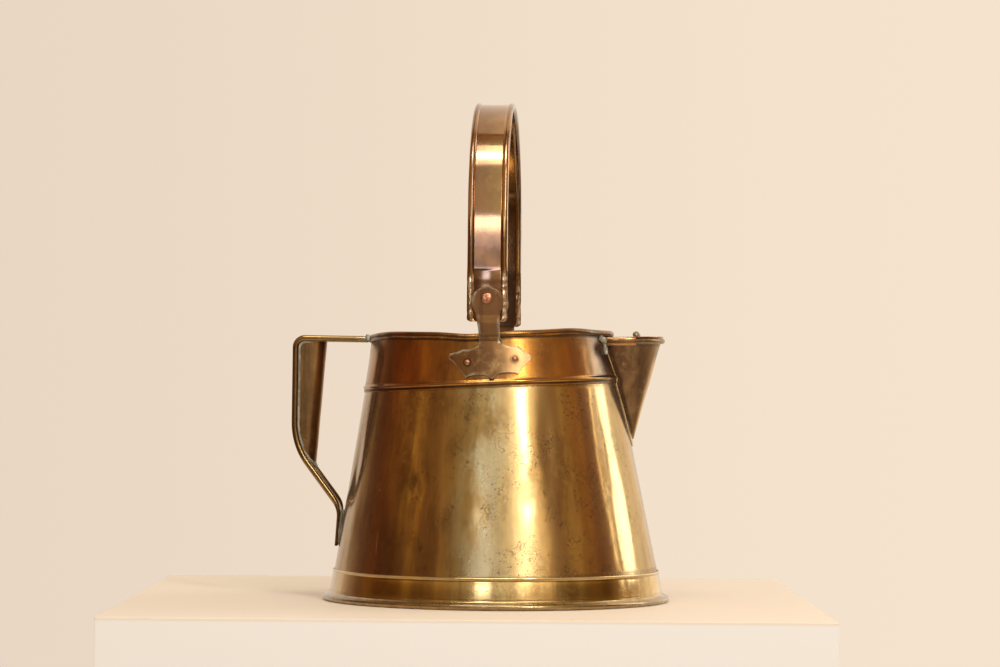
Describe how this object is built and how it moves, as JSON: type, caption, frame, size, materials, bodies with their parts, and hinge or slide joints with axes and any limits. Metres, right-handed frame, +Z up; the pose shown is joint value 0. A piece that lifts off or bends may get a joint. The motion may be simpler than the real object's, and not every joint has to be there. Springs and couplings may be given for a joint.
{
  "type": "hot water can",
  "caption": "Tapered brass hot water can on a flared foot, with a half-round pouring spout, a fixed strap handle, a swinging strap handle, and hinged lids over the mouth and spout.",
  "frame": {"origin": "centre of the circle on which the foot's wired edge rests, on the table", "axes": "+Z up, +X towards the spout, -X towards the fixed handle, -Y towards the can's right side, which the picture shows"},
  "size_m": [0.2622, 0.24, 0.344],
  "materials": {
    "vessel_brass": "aged polished brass sheet, warm yellow-brown patina, dents and fine scratches",
    "foot_brass": "brighter rubbed brass of the foot band",
    "spout_brass": "duller maroon-brown patina on brass",
    "handle_brass": "copper-brown handled brass, gold along the rolled edges",
    "ear_brass": "brass plate with verdigris in the corners",
    "inner_brass": "dull unpolished brass inside and below",
    "rivet_copper": "hammered copper rivet head, worn bright",
    "soft_solder": "grey-green tin solder",
    "hinge_wire": "brass hinge wire, dull"
  },
  "bodies": {
    "root": {"body_shell": "vessel_brass", "bottom_disc": "inner_brass", "neck_band": "vessel_brass", "foot_band": "foot_brass", "front_cover": "inner_brass", "lid_ledge": "inner_brass", "lid_hinge_pin": "hinge_wire", "spout_shell": "spout_brass", "spout_bridge": "vessel_brass", "spout_hinge_pin": "hinge_wire", "handle_strap": "handle_brass", "handle_grip": "handle_brass", "handle_solder": "soft_solder", "right_ear": "ear_brass", "left_ear": "ear_brass", "right_ear_rivets": "rivet_copper", "left_ear_rivets": "rivet_copper", "right_pivot_rivet": "rivet_copper", "left_pivot_rivet": "rivet_copper", "right_pivot_washer": "ear_brass", "left_pivot_washer": "ear_brass"},
    "bail": {"bail_strap": "handle_brass"},
    "lid": {"lid": "vessel_brass", "lid_lift": "vessel_brass"},
    "flap": {"spout_flap": "vessel_brass"}
  },
  "joints": [
    {"name": "bail_swing", "type": "hinge", "parent": "root", "child": "bail", "pos_m": [-0.00219, 0, 0.2067], "axis": [0, 1, 0], "range_deg": [-93, 108]},
    {"name": "lid_hinge", "type": "hinge", "parent": "root", "child": "lid", "pos_m": [-0.00003, 0, 0.17755], "axis": [0, 1, 0], "range_deg": [0, 150]},
    {"name": "flap_hinge", "type": "hinge", "parent": "root", "child": "flap", "pos_m": [0.09646, 0, 0.18414], "axis": [0, -1, 0], "range_deg": [0, 165]}
  ]
}
